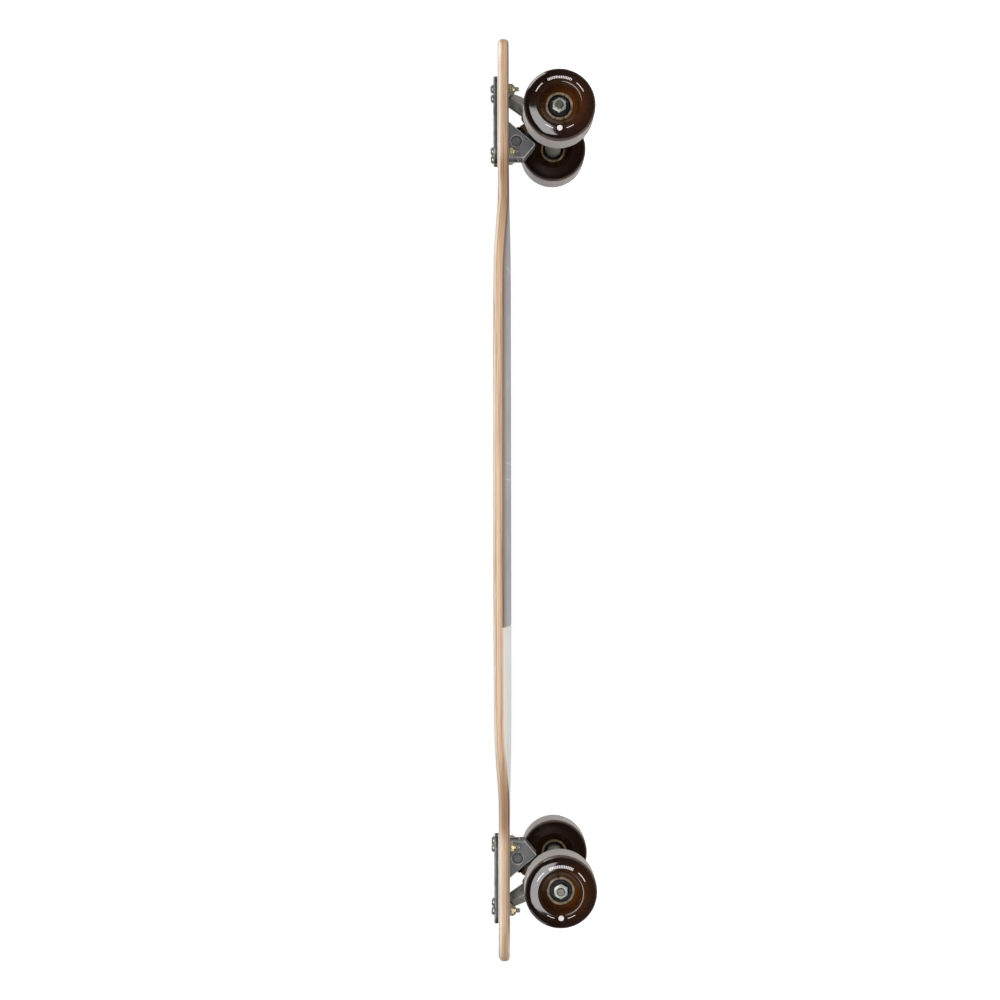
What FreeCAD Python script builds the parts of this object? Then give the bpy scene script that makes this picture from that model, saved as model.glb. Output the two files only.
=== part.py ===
import FreeCAD, Part
import math
import os

# A drop-through longboard on its wheels: +X is the front, +Y the left side, Z = 0 the road
# Driving dimensions, in millimetres and degrees

# Wheels and axles
axle_spacing = 756.0
wheel_diameter = 70.0
wheel_width = 51.0
wheel_shoulder_diameter = 60.0
wheel_shoulder_drop = 1.5
wheel_shoulder_radius = 8.0
wheel_lip_drop = 5.0
wheel_lip_radius = 6.0
wheel_dish_radius = 21.5
wheel_dish_edge_radius = 1.3
core_diameter = 27.0
core_length = 26.0
core_shoulder_diameter = 19.0
axle_diameter = 7.94
axle_end_chamfer = 0.9
axle_nut_flats = 12.7
axle_nut_height = 6.0
axle_nut_collar = 1.6
axle_tip_past_nut = 1.5
speed_ring_diameter = 11.6
speed_ring_thickness = 1.0

# Ball bearings, two in each wheel
bearing_bore = 8.0
bearing_diameter = 22.0
bearing_width = 7.0
inner_race_diameter = 12.0
outer_race_opening = 18.0
ball_diameter = 3.97
ball_count = 7
cage_thickness = 0.9
cage_width = 4.8
shield_thickness = 0.4
shield_recess = 0.35
spacer_length = 10.0
spacer_diameter = 10.5

# Deck
nose_overhang = 92.4
deck_width = 213.0
deck_thickness = 10.8
deck_side_bow = 3.0
deck_edge_radius = 4.2
flat_strip_width = 80.0
concave_rise = 7.9
platform_drop = 1.9
wheel_well_front_gap = 0.5
wheel_well_side_gap = 18.5
well_curve_length = 124.0
well_truck_fullness = 0.32
well_foot_fullness = 0.69
nose_round_length = 46.0
nose_fullness = 0.62
grip_thickness = 0.5
grip_margin = 3.5
grip_gap_round_plate = 1.0

# Truck: baseplate
truck_height = 48.5
plate_angle = 50.0
plate_length = 84.2
plate_width = 58.0
plate_thickness = 4.7
plate_corner_radius = 9.0
plate_edge_radius = 1.2
plate_ahead_of_axle = 10.0
bolts_behind_plate = 2.7
bolt_spacing_long = 63.5
bolt_spacing_wide = 41.3
slot_end_margin = 1.5
slot_width = 29.0
slot_corner_radius = 6.0
seat_block_depth = 20.8
seat_block_width = 24.0
seat_block_edge_radius = 2.0
seat_reach_below_kingpin = 13.5
seat_web_under_head = 9.0
seat_dimple_radius = 5.6
seat_dimple_depth = 2.6
seat_dimple_height = 3.9
pivot_boss_diameter = 21.0
pivot_boss_below_deck = 0.5

# Truck: hanger, kingpin and bushings
hanger_width = 180.0
axle_past_seat = 24.8
axle_below_kingpin = 19.6
hanger_end_diameter = 16.6
hanger_middle_depth = 19.5
hanger_middle_height = 25.0
hanger_arm_lift = 3.0
hanger_sections = 7
hanger_section_points = 8
fin_height = 50.0
fin_thickness = 11.0
fin_end_height = 11.0
fin_end_thickness = 9.0
fin_half_width = 62.0
ring_diameter = 34.0
ring_web = 9.0
ring_collar = 3.5
ring_hole_diameter = 15.2
ring_edge_radius = 1.6
neck_lean = 11.0
neck_foot = 9.0
neck_flats = 19.5
neck_end_flats = 13.6
pivot_nose_diameter = 11.0
pivot_nose_length = 9.0
pivot_nose_chamfer = 1.8
pivot_gap = 1.5
pivot_cup_wall = 2.0
kingpin_diameter = 9.5
kingpin_head_flats = 14.3
kingpin_head_height = 6.0
kingpin_nut_height = 9.0
kingpin_nut_collar = 2.2
kingpin_past_nut = 1.4
bushing_diameter = 24.0
bushing_base = 5.0
bushing_top_diameter = 17.6
boardside_bushing_height = 13.9
roadside_bushing_height = 13.0
bushing_edge_radius = 0.9
cup_washer_thickness = 1.6
cup_washer_lip = 1.4

# Mounting hardware
mounting_bolt_diameter = 4.8
mounting_bolt_head_diameter = 8.4
mounting_bolt_crown_diameter = 5.2
mounting_bolt_head_height = 2.9
mounting_bolt_socket_flats = 3.0
mounting_bolt_socket_depth = 1.7
mounting_bolt_past_nut = 4.4
mounting_nut_flats = 9.5
mounting_nut_height = 6.0
mounting_nut_collar = 1.6
nut_collar_share = 0.86

# Clearances
press_gap = 0.02
running_gap = 0.06
shield_gap = 0.12
thread_gap = 0.02
hole_gap = 0.35
slot_gap = 0.5
bushing_gap = 0.15
pocket_gap = 0.8
cutter_reach = 60.0
same_place = 0.001
parallel_share = 0.9

# Worked out from the driving dimensions
axle_x = axle_spacing / 2
axle_z = wheel_diameter / 2
deck_half_length = axle_x + nose_overhang
deck_bottom_z = axle_z + truck_height
deck_top_z = deck_bottom_z + deck_thickness
plate_top_z = deck_top_z + plate_thickness
plate_x = axle_x + plate_ahead_of_axle
bolts_x = plate_x - bolts_behind_plate
bearing_pair_length = 2 * bearing_width + spacer_length
wheel_y = hanger_width / 2 + speed_ring_thickness + bearing_pair_length / 2
axle_nut_y = wheel_y + bearing_pair_length / 2 + speed_ring_thickness
axle_half_length = axle_nut_y + axle_nut_height + axle_tip_past_nut
neck_half_width = wheel_y - wheel_width / 2 - wheel_well_side_gap
neck_x = axle_x - wheel_diameter / 2 - wheel_well_front_gap
platform_x = neck_x - well_curve_length

up = FreeCAD.Vector(0, 0, 1)
left = FreeCAD.Vector(0, 1, 0)
origin = FreeCAD.Vector(0, 0, 0)
lean = math.radians(plate_angle)
steer_axis = FreeCAD.Vector(math.cos(lean), 0, math.sin(lean))
kingpin_axis = FreeCAD.Vector(math.sin(lean), 0, -math.cos(lean))
axle_centre = FreeCAD.Vector(axle_x, 0, axle_z)
seat_centre = axle_centre + steer_axis * axle_below_kingpin - kingpin_axis * axle_past_seat
web_depth = cup_washer_thickness + boardside_bushing_height
ring_depth = web_depth + ring_web / 2
ring_centre = seat_centre + kingpin_axis * ring_depth
pivot_start = (deck_bottom_z - pivot_boss_below_deck - ring_centre.z) / steer_axis.z
pivot_shoulder = pivot_start - pivot_gap
shapes = {}


# Shared shapes
def truck_point(depth, height, side=0.0):
    # depth runs along the kingpin from the bushing seat, height along the steering axis
    return seat_centre + kingpin_axis * depth + steer_axis * height + left * side


def cylinder(start, direction, diameter, length):
    return Part.makeCylinder(diameter / 2, length, start, direction)


def turned(profile, start, direction):
    # a closed profile of (distance along the axis, radius) points, turned once round the axis
    points = [FreeCAD.Vector(radius, 0, distance) for distance, radius in profile]
    face = Part.Face(Part.makePolygon(points + points[:1]))
    solid = face.revolve(origin, up, 360)
    solid.Placement = FreeCAD.Placement(start, FreeCAD.Rotation(up, direction))
    return solid


def tube(start, direction, diameter, bore, length):
    return turned([(0, bore / 2), (0, diameter / 2), (length, diameter / 2), (length, bore / 2)], start, direction)


def hexagon(start, direction, flats, height):
    corner = flats / math.sqrt(3)
    points = []
    for index in range(7):
        angle = math.radians(60 * index)
        points.append(FreeCAD.Vector(corner * math.cos(angle), corner * math.sin(angle), 0))
    prism = Part.Face(Part.makePolygon(points)).extrude(up * height)
    prism.Placement = FreeCAD.Placement(start, FreeCAD.Rotation(up, direction))
    return prism


def chamfered_hexagon(start, direction, flats, height):
    # the corners are turned off at 30 degrees, as on any hexagon nut
    corner = flats / math.sqrt(3)
    drop = (corner - flats / 2) * math.tan(math.radians(30))
    rim = flats / 2
    profile = [(0, 0), (0, rim), (drop, corner), (height - drop, corner), (height, rim), (height, 0)]
    return hexagon(start, direction, flats, height).common(turned(profile, start, direction))


def lock_nut(start, direction, flats, height, collar, bore):
    body = chamfered_hexagon(start, direction, flats, height - collar)
    crown = cylinder(start, direction, flats * nut_collar_share, height)
    return body.fuse(crown).cut(cylinder(start, direction, bore, height)).removeSplitter()


def rounded_slab(x_start, x_end, width, z_start, z_end, corner_radius):
    size = (x_end - x_start, width, z_end - z_start)
    slab = Part.makeBox(*size, FreeCAD.Vector(x_start, -width / 2, z_start))
    corners = [edge for edge in slab.Edges if abs(edge.tangentAt(edge.FirstParameter).z) > parallel_share]
    return slab.makeFillet(corner_radius, corners)


def circles_at(solid, centre, radius=None):
    # the circular edges of a solid round one point of its axis
    found = []
    for edge in solid.Edges:
        if edge.Curve.TypeId == "Part::GeomCircle" and edge.Curve.Center.distanceToPoint(centre) < same_place:
            if radius is None or abs(edge.Curve.Radius - radius) < same_place:
                found.append(edge)
    return found


def bolt_places():
    for along in (-bolt_spacing_long / 2, bolt_spacing_long / 2):
        for across in (-bolt_spacing_wide / 2, bolt_spacing_wide / 2):
            yield bolts_x + along, across


def both_ends(solid):
    # the rear end of the board is its front end turned half round
    return [solid, solid.rotated(origin, up, 180)]


# Deck
def curve(*points):
    bezier = Part.BezierCurve()
    bezier.setPoles([FreeCAD.Vector(x, y, 0) for x, y in points])
    return bezier.toShape()


def outline(inset):
    # one long side from tip to tip, then the same side turned half round
    tip = deck_half_length - inset
    waist = deck_width / 2 - inset
    shoulder = waist - deck_side_bow
    neck = neck_half_width - inset
    nose = tip - nose_round_length
    bow_radius = (platform_x ** 2 + deck_side_bow ** 2) / (2 * deck_side_bow)
    bow_slope = platform_x / (bow_radius - deck_side_bow)
    truck_pull = well_curve_length * well_truck_fullness
    foot_pull = well_curve_length * well_foot_fullness
    round_pull = nose_round_length * nose_fullness
    side = []
    for sign in (1, -1):
        well_pull = (sign * (platform_x + foot_pull), shoulder - bow_slope * foot_pull)
        neck_pull = (sign * (neck_x - truck_pull), neck)
        nose_pull = (sign * (nose + round_pull), neck)
        side.append(curve((sign * tip, 0), (sign * tip, neck * nose_fullness), nose_pull, (sign * nose, neck)))
        side.append(curve((sign * nose, neck), (sign * neck_x, neck)))
        side.append(curve((sign * neck_x, neck), neck_pull, well_pull, (sign * platform_x, shoulder)))
    ends = [FreeCAD.Vector(sign * platform_x, shoulder, 0) for sign in (1, -1)]
    side.append(Part.Arc(ends[0], FreeCAD.Vector(0, waist, 0), ends[1]).toShape())
    other_side = [edge.rotated(origin, up, 180) for edge in side]
    return Part.Wire(Part.__sortEdges__(side + other_side))


def surface_patch(x_ends, sinks, rises, y_ends):
    # the height eases from one end to the other along X and is square in Y past the flat strip
    strip = abs(y_ends[0]) == abs(y_ends[1])
    columns = 2 if strip else 3
    patch = Part.BezierSurface()
    patch.increase(3, columns - 1)
    for row in range(4):
        end = row // 2
        x = x_ends[0] + (x_ends[1] - x_ends[0]) * row / 3
        for column in range(columns):
            y = y_ends[0] + (y_ends[1] - y_ends[0]) * column / (columns - 1)
            lift = rises[end] if column == 2 else 0.0
            patch.setPole(row + 1, column + 1, FreeCAD.Vector(x, y, lift - sinks[end]))
    return patch.toShape()


def deck_layer(bottom, thickness, inset):
    # a sheet that follows the deck: flat at the trucks, sunk and dished where the feet stand
    reach_x = deck_half_length + deck_thickness
    reach_y = deck_width / 2 + deck_thickness
    strip_y = flat_strip_width / 2
    dish = (reach_y - strip_y) / (deck_width / 2 - strip_y)
    rise = concave_rise * dish ** 2
    faces = []
    for sign in (1, -1):
        corners = [(neck_x, -reach_y), (reach_x, -reach_y), (reach_x, reach_y), (neck_x, reach_y)]
        corners += [(neck_x, strip_y), (neck_x, -strip_y), (neck_x, -reach_y)]
        faces.append(Part.Face(Part.makePolygon([FreeCAD.Vector(sign * x, sign * y, 0) for x, y in corners])))
        for y_ends in ((-strip_y, strip_y), (strip_y, reach_y), (-strip_y, -reach_y)):
            x_ends = (sign * platform_x, sign * neck_x)
            faces.append(surface_patch(x_ends, (platform_drop, 0), (rise, 0), y_ends))
        side_y = (sign * strip_y, sign * reach_y)
        faces.append(surface_patch((-platform_x, platform_x), (platform_drop,) * 2, (rise,) * 2, side_y))
    platform = [(-platform_x, -strip_y), (platform_x, -strip_y), (platform_x, strip_y), (-platform_x, strip_y)]
    points = [FreeCAD.Vector(x, y, -platform_drop) for x, y in platform + platform[:1]]
    faces.append(Part.Face(Part.makePolygon(points)))
    pieces = []
    for face in faces:
        face.translate(up * bottom)
        pieces.append(face.extrude(up * thickness))
    sheet = pieces[0].multiFuse(pieces[1:]).removeSplitter()
    footprint = Part.Face(outline(inset))
    footprint.translate(up * (bottom - cutter_reach))
    return sheet.common(footprint.extrude(up * (2 * cutter_reach)))


def rim_edges(solid, inset):
    # the edges along the outer wall of a deck layer, without the upright ones
    wall = outline(inset).extrude(up * (deck_top_z + cutter_reach))
    rim = []
    for edge in solid.Edges:
        middle = (edge.FirstParameter + edge.LastParameter) / 2
        if abs(edge.tangentAt(middle).z) < parallel_share:
            if Part.Vertex(edge.valueAt(middle)).distToShape(wall)[0] < same_place:
                rim.append(edge)
    return rim


def plate_slot():
    # the hole that a truck drops through
    return rounded_slab(
        plate_x - plate_length / 2 + slot_end_margin, plate_x + plate_length / 2 - slot_end_margin,
        slot_width, axle_z, plate_top_z, slot_corner_radius)


def make_deck():
    deck = deck_layer(deck_bottom_z, deck_thickness, 0.0)
    deck = deck.makeFillet(deck_edge_radius, rim_edges(deck, 0.0))
    cuts = both_ends(plate_slot())
    for x, y in bolt_places():
        place = FreeCAD.Vector(x, y, deck_bottom_z - cutter_reach)
        cuts += both_ends(cylinder(place, up, mounting_bolt_diameter + 2 * hole_gap, 2 * cutter_reach))
    shapes["deck"] = deck.cut(cuts)


def make_grip_sheet():
    sheet = deck_layer(deck_top_z, grip_thickness, grip_margin)
    gap = grip_gap_round_plate
    window = rounded_slab(
        plate_x - plate_length / 2 - gap, plate_x + plate_length / 2 + gap,
        plate_width + 2 * gap, deck_bottom_z, plate_top_z, plate_corner_radius + gap)
    shapes["grip_sheet"] = sheet.cut(both_ends(window))


# Trucks
def make_baseplate():
    plate_start = plate_x - plate_length / 2
    plate_end = plate_x + plate_length / 2
    flange = rounded_slab(plate_start, plate_end, plate_width, deck_top_z, plate_top_z, plate_corner_radius)
    top_edges = [edge for edge in flange.Edges if edge.BoundBox.ZMin > plate_top_z - same_place]
    flange = flange.makeFillet(plate_edge_radius, top_edges)
    slot_start = plate_start + slot_end_margin + slot_gap
    slot_end = plate_end - slot_end_margin - slot_gap
    foot_width = slot_width - 2 * slot_gap

    low_front = truck_point(0, -seat_reach_below_kingpin)
    low_back = truck_point(-seat_block_depth, -seat_reach_below_kingpin)
    top_front = low_front + steer_axis * ((deck_top_z - low_front.z) / steer_axis.z)
    top_back = FreeCAD.Vector(slot_start, 0, deck_top_z)
    corners = [low_front, top_front, top_back, low_back]
    side = Part.Face(Part.makePolygon(corners + corners[:1]))
    side.translate(left * (-seat_block_width / 2))
    block = side.extrude(left * seat_block_width)
    low_edges = []
    for edge in block.Edges:
        if abs(edge.tangentAt(edge.FirstParameter).y) > parallel_share and edge.BoundBox.ZMax < deck_bottom_z:
            low_edges.append(edge)
    block = block.makeFillet(seat_block_edge_radius, low_edges)

    boss = cylinder(ring_centre + steer_axis * pivot_start, steer_axis, pivot_boss_diameter, cutter_reach)
    room = rounded_slab(slot_start, slot_end, foot_width, 0, deck_top_z, slot_corner_radius - slot_gap)
    plate = flange.fuse(block.fuse(boss).common(room))

    head_start = truck_point(-seat_web_under_head, 0)
    tunnel_width = kingpin_head_flats + 2 * hole_gap
    tunnel_height = kingpin_head_flats * 2 / math.sqrt(3) + 2 * hole_gap
    tunnel = Part.makeBox(tunnel_height, tunnel_width, cutter_reach)
    tunnel.translate(FreeCAD.Vector(-tunnel_height / 2, -tunnel_width / 2, 0))
    tunnel.Placement = FreeCAD.Placement(head_start, FreeCAD.Rotation(up, -kingpin_axis)) * tunnel.Placement
    kingpin_hole = cylinder(head_start, kingpin_axis, kingpin_diameter + 2 * press_gap, cutter_reach)
    cup_pocket = cylinder(
        ring_centre + steer_axis * pivot_start, steer_axis,
        pivot_nose_diameter + 2 * (running_gap + pivot_cup_wall + press_gap), pivot_cup_depth())
    cuts = [tunnel, kingpin_hole, cup_pocket]
    for x, y in bolt_places():
        place = FreeCAD.Vector(x, y, deck_top_z)
        cuts.append(cylinder(place, up, mounting_bolt_diameter + 2 * hole_gap, plate_thickness))
    dimple_centre = truck_point(-seat_block_depth / 2, seat_dimple_height)
    for sign in (1, -1):
        dimple_start = dimple_centre + left * (sign * (seat_block_width / 2 - seat_dimple_depth))
        cuts.append(cylinder(dimple_start, left * sign, 2 * seat_dimple_radius, seat_dimple_depth))
    return plate.cut(cuts).removeSplitter()


def pivot_cup_depth():
    return pivot_nose_length + pivot_cup_wall - pivot_gap + running_gap


def make_pivot_cup():
    start = ring_centre + steer_axis * pivot_start
    bore = pivot_nose_diameter / 2 + running_gap
    depth = pivot_cup_depth()
    cup = cylinder(start, steer_axis, 2 * (bore + pivot_cup_wall), depth)
    return cup.cut(cylinder(start, steer_axis, 2 * bore, depth - pivot_cup_wall))


def hanger_loft(middle_depth, middle_height, middle_size, end_depth, end_height, end_size, half_width):
    # oval sections across the board that ease from the middle to both ends
    sections = []
    for index in range(hanger_sections):
        station = 2 * index / (hanger_sections - 1) - 1
        share = abs(station)
        ease = share * (2 - share)
        centre = truck_point(
            middle_depth + (end_depth - middle_depth) * ease,
            middle_height + (end_height - middle_height) * ease, station * half_width)
        tall = (middle_size[0] + (end_size[0] - middle_size[0]) * ease) / 2
        deep = (middle_size[1] + (end_size[1] - middle_size[1]) * ease) / 2
        points = []
        for step in range(hanger_section_points):
            angle = 2 * math.pi * step / hanger_section_points
            points.append(centre + steer_axis * (tall * math.cos(angle)) + kingpin_axis * (deep * math.sin(angle)))
        oval = Part.BSplineCurve()
        oval.interpolate(points, True)
        sections.append(Part.Wire(oval.toShape()))
    return Part.makeLoft(sections, True)


def neck_section(height, flats):
    # a hexagon across the neck, with a corner to each side of the board
    corner = flats / math.sqrt(3)
    depth = ring_depth + (pivot_shoulder - height) * math.tan(math.radians(neck_lean))
    points = []
    for index in range(7):
        angle = math.radians(60 * index)
        points.append(truck_point(depth + corner * math.sin(angle), height, corner * math.cos(angle)))
    return Part.makePolygon(points)


def bushing_mouth(height, reach):
    # the radius of a bushing at a distance back from its narrow end
    slope = (bushing_diameter - bushing_top_diameter) / 2 / (height - bushing_base)
    return bushing_top_diameter / 2 + slope * reach


def make_hanger():
    middle = (hanger_middle_height, hanger_middle_depth)
    end = (hanger_end_diameter, hanger_end_diameter)
    arms = hanger_loft(
        axle_past_seat, hanger_arm_lift - axle_below_kingpin, middle,
        axle_past_seat, -axle_below_kingpin, end, hanger_width / 2)
    fin_middle = fin_height / 2 - axle_below_kingpin
    fin = hanger_loft(
        ring_depth, fin_middle, (fin_height, fin_thickness),
        axle_past_seat, -axle_below_kingpin, (fin_end_height, fin_end_thickness), fin_half_width)
    ring_start = truck_point(web_depth - ring_collar, 0)
    ring_length = ring_web + 2 * ring_collar
    ring = cylinder(ring_start, kingpin_axis, ring_diameter, ring_length)
    ring = ring.makeFillet(
        ring_edge_radius,
        circles_at(ring, ring_start) + circles_at(ring, ring_start + kingpin_axis * ring_length))
    neck = Part.makeLoft(
        [neck_section(pivot_shoulder, neck_end_flats), neck_section(neck_foot, neck_flats)], True, True)
    nose_radius = pivot_nose_diameter / 2
    nose_end = pivot_shoulder + pivot_nose_length
    nose = turned([
        (pivot_shoulder - pivot_nose_chamfer, 0), (pivot_shoulder - pivot_nose_chamfer, nose_radius),
        (nose_end - pivot_nose_chamfer, nose_radius), (nose_end, nose_radius - pivot_nose_chamfer), (nose_end, 0)],
        ring_centre, steer_axis)
    hanger = arms.fuse([fin, ring, neck, nose])

    web_start = truck_point(web_depth, 0)
    web_end = truck_point(web_depth + ring_web, 0)
    neck_reach = max(ring_collar, neck_flats / 2 - ring_web / 2)
    board_pocket = 2 * (bushing_mouth(boardside_bushing_height, neck_reach) + pocket_gap)
    road_pocket = bushing_diameter + 2 * pocket_gap
    axle_start = FreeCAD.Vector(axle_x, -cutter_reach - hanger_width / 2, axle_z)
    return hanger.cut([
        cylinder(web_start, -kingpin_axis, board_pocket, cutter_reach),
        cylinder(web_start, kingpin_axis, ring_hole_diameter, ring_web),
        cylinder(web_end, kingpin_axis, road_pocket, cutter_reach),
        cylinder(axle_start, left, axle_diameter + 2 * press_gap, hanger_width + 2 * cutter_reach)])


def make_kingpin():
    head_start = truck_point(-seat_web_under_head, 0)
    head = chamfered_hexagon(head_start, -kingpin_axis, kingpin_head_flats, kingpin_head_height)
    end = kingpin_nut_depth() + kingpin_nut_height + kingpin_past_nut
    shank = cylinder(head_start, kingpin_axis, kingpin_diameter, seat_web_under_head + end)
    tip = circles_at(shank, truck_point(end, 0))
    return head.fuse(shank.makeChamfer(axle_end_chamfer, tip)).removeSplitter()


def cup_washer_depth():
    return web_depth + ring_web + roadside_bushing_height


def kingpin_nut_depth():
    return cup_washer_depth() + cup_washer_thickness


def make_bushing(depth, height):
    # a cone on a short straight base
    bore = kingpin_diameter / 2 + bushing_gap
    wide = bushing_diameter / 2
    narrow = bushing_top_diameter / 2
    start = truck_point(depth, 0)
    bushing = turned(
        [(0, bore), (0, wide), (bushing_base, wide), (height, narrow), (height, bore)], start, kingpin_axis)
    rims = circles_at(bushing, start, wide) + circles_at(bushing, truck_point(depth + height, 0), narrow)
    return bushing.makeFillet(bushing_edge_radius, rims)


def cup_washer(start, direction, mouth):
    # a dished disc whose lip reaches round the end of a bushing
    inside = mouth + bushing_gap
    outside = inside + cup_washer_thickness
    bore = kingpin_diameter / 2 + bushing_gap
    bend = cup_washer_thickness / 2
    rim = cup_washer_thickness + cup_washer_lip
    return turned([
        (0, bore), (0, outside - bend), (bend, outside), (rim, outside), (rim, inside),
        (cup_washer_thickness, inside), (cup_washer_thickness, bore)], start, direction)


def make_cup_washers():
    narrow = bushing_mouth(roadside_bushing_height, cup_washer_lip)
    return Part.makeCompound([
        cup_washer(truck_point(0, 0), kingpin_axis, bushing_diameter / 2),
        cup_washer(truck_point(kingpin_nut_depth(), 0), -kingpin_axis, narrow)])


def make_kingpin_nut():
    return lock_nut(
        truck_point(kingpin_nut_depth(), 0), kingpin_axis, kingpin_head_flats,
        kingpin_nut_height, kingpin_nut_collar, kingpin_diameter + 2 * thread_gap)


def make_axle():
    start = FreeCAD.Vector(axle_x, -axle_half_length, axle_z)
    end = FreeCAD.Vector(axle_x, axle_half_length, axle_z)
    rod = cylinder(start, left, axle_diameter, 2 * axle_half_length)
    return rod.makeChamfer(axle_end_chamfer, circles_at(rod, start) + circles_at(rod, end))


def make_speed_rings():
    # one ring on each face of a wheel's pair of bearings
    rings = []
    for sign in (1, -1):
        for place in (hanger_width / 2, axle_nut_y - speed_ring_thickness):
            start = FreeCAD.Vector(axle_x, sign * place, axle_z)
            rings.append(tube(
                start, left * sign, speed_ring_diameter, axle_diameter + 2 * running_gap, speed_ring_thickness))
    return Part.makeCompound(rings)


def make_axle_nuts():
    nuts = []
    for sign in (1, -1):
        start = FreeCAD.Vector(axle_x, sign * axle_nut_y, axle_z)
        nuts.append(lock_nut(
            start, left * sign, axle_nut_flats, axle_nut_height, axle_nut_collar, axle_diameter + 2 * thread_gap))
    return Part.makeCompound(nuts)


def make_mounting_bolts():
    radius = mounting_bolt_head_diameter / 2
    crown = mounting_bolt_crown_diameter / 2
    bolts = []
    for x, y in bolt_places():
        seat = FreeCAD.Vector(x, y, plate_top_z)
        length = plate_top_z - deck_bottom_z + mounting_nut_height + mounting_bolt_past_nut
        shank = cylinder(seat, -up, mounting_bolt_diameter, length)
        head = turned([
            (0, 0), (0, radius), (mounting_bolt_head_height / 2, radius),
            (mounting_bolt_head_height, crown), (mounting_bolt_head_height, 0)], seat, up)
        socket_floor = seat + up * (mounting_bolt_head_height - mounting_bolt_socket_depth)
        socket = hexagon(socket_floor, up, mounting_bolt_socket_flats, mounting_bolt_head_height)
        bolts.append(head.fuse(shank).cut(socket).removeSplitter())
    return Part.makeCompound(bolts)


def make_mounting_nuts():
    nuts = []
    for x, y in bolt_places():
        nuts.append(lock_nut(
            FreeCAD.Vector(x, y, deck_bottom_z), -up, mounting_nut_flats, mounting_nut_height,
            mounting_nut_collar, mounting_bolt_diameter + 2 * thread_gap))
    return Part.makeCompound(nuts)


def make_trucks():
    pieces = {
        "baseplate": make_baseplate(),
        "pivot_cup": make_pivot_cup(),
        "hanger": make_hanger(),
        "axle": make_axle(),
        "speed_rings": make_speed_rings(),
        "axle_nuts": make_axle_nuts(),
        "kingpin": make_kingpin(),
        "kingpin_nut": make_kingpin_nut(),
        "boardside_bushing": make_bushing(cup_washer_thickness, boardside_bushing_height),
        "roadside_bushing": make_bushing(web_depth + ring_web, roadside_bushing_height),
        "cup_washers": make_cup_washers(),
        "mounting_bolts": make_mounting_bolts(),
        "mounting_nuts": make_mounting_nuts(),
    }
    for name, piece in pieces.items():
        front, rear = both_ends(piece)
        shapes["front_" + name] = front
        shapes["rear_" + name] = rear


# Wheels, modelled round the origin with their axle along Y
def bearing_starts():
    # the inner end of each bearing, and the way out from the middle of the wheel
    for sign in (1, -1):
        yield left * (sign * spacer_length / 2), left * sign


def ball_circle_radius():
    return (inner_race_diameter + outer_race_opening) / 4


def ball_places(start, out):
    # the middle of each ball, and the way to it from the axle
    middle = start + out * (bearing_width / 2)
    for index in range(ball_count):
        angle = 2 * math.pi * index / ball_count
        spoke = FreeCAD.Vector(math.cos(angle), 0, math.sin(angle))
        yield middle + spoke * ball_circle_radius(), spoke


def race_groove(start, out):
    # the ring-shaped track that the balls run in
    middle = start + out * (bearing_width / 2)
    return Part.makeTorus(ball_circle_radius(), ball_diameter / 2 + running_gap, middle, out)


def make_tyre():
    # the face slopes from the edge of the dish to a soft shoulder, then falls to the tread
    half = wheel_width / 2
    rim = wheel_diameter / 2
    shoulder = wheel_shoulder_diameter / 2
    core = core_diameter / 2 + press_gap
    side = [
        (core_length / 2, core), (half, wheel_dish_radius), (half - wheel_shoulder_drop, shoulder),
        (half - wheel_lip_drop, rim)]
    tyre = turned(side + [(-distance, radius) for distance, radius in reversed(side)], origin, left)
    for distance, radius, rounding in (
            (half - wheel_shoulder_drop, shoulder, wheel_shoulder_radius),
            (half - wheel_lip_drop, rim, wheel_lip_radius),
            (half, wheel_dish_radius, wheel_dish_edge_radius)):
        rims = []
        for sign in (1, -1):
            rims += circles_at(tyre, left * (sign * distance), radius)
        tyre = tyre.makeFillet(rounding, rims)
    return tyre


def make_core():
    half = core_length / 2
    seat = bearing_diameter / 2 + press_gap
    shoulder = core_shoulder_diameter / 2
    stop = spacer_length / 2
    outside = core_diameter / 2
    return turned([
        (-half, seat), (-half, outside), (half, outside), (half, seat), (stop, seat),
        (stop, shoulder), (-stop, shoulder), (-stop, seat)], origin, left)


def make_outer_races():
    races = []
    for start, out in bearing_starts():
        race = tube(start, out, bearing_diameter, outer_race_opening, bearing_width)
        races.append(race.cut(race_groove(start, out)))
    return Part.makeCompound(races)


def make_inner_races():
    races = []
    for start, out in bearing_starts():
        race = tube(start, out, inner_race_diameter, bearing_bore, bearing_width)
        races.append(race.cut(race_groove(start, out)))
    return Part.makeCompound(races)


def make_shields():
    # a thin disc just inside each face of each bearing
    shields = []
    bore = inner_race_diameter + 2 * shield_gap
    outside = outer_race_opening - 2 * press_gap
    for start, out in bearing_starts():
        for place in (shield_recess, bearing_width - shield_recess - shield_thickness):
            shields.append(tube(start + out * place, out, outside, bore, shield_thickness))
    return Part.makeCompound(shields)


def make_balls():
    balls = []
    for start, out in bearing_starts():
        balls += [Part.makeSphere(ball_diameter / 2, place) for place, spoke in ball_places(start, out)]
    return Part.makeCompound(balls)


def make_cages():
    cages = []
    middle_diameter = 2 * ball_circle_radius()
    for start, out in bearing_starts():
        place = start + out * ((bearing_width - cage_width) / 2)
        ring = tube(place, out, middle_diameter + cage_thickness, middle_diameter - cage_thickness, cage_width)
        pockets = []
        for ball, spoke in ball_places(start, out):
            pocket_start = ball - spoke * cage_thickness
            pockets.append(cylinder(pocket_start, spoke, ball_diameter + 2 * running_gap, 2 * cage_thickness))
        cages.append(ring.cut(pockets))
    return Part.makeCompound(cages)


def make_spacer():
    start = left * (-spacer_length / 2)
    return tube(start, left, spacer_diameter, bearing_bore, spacer_length)


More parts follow.
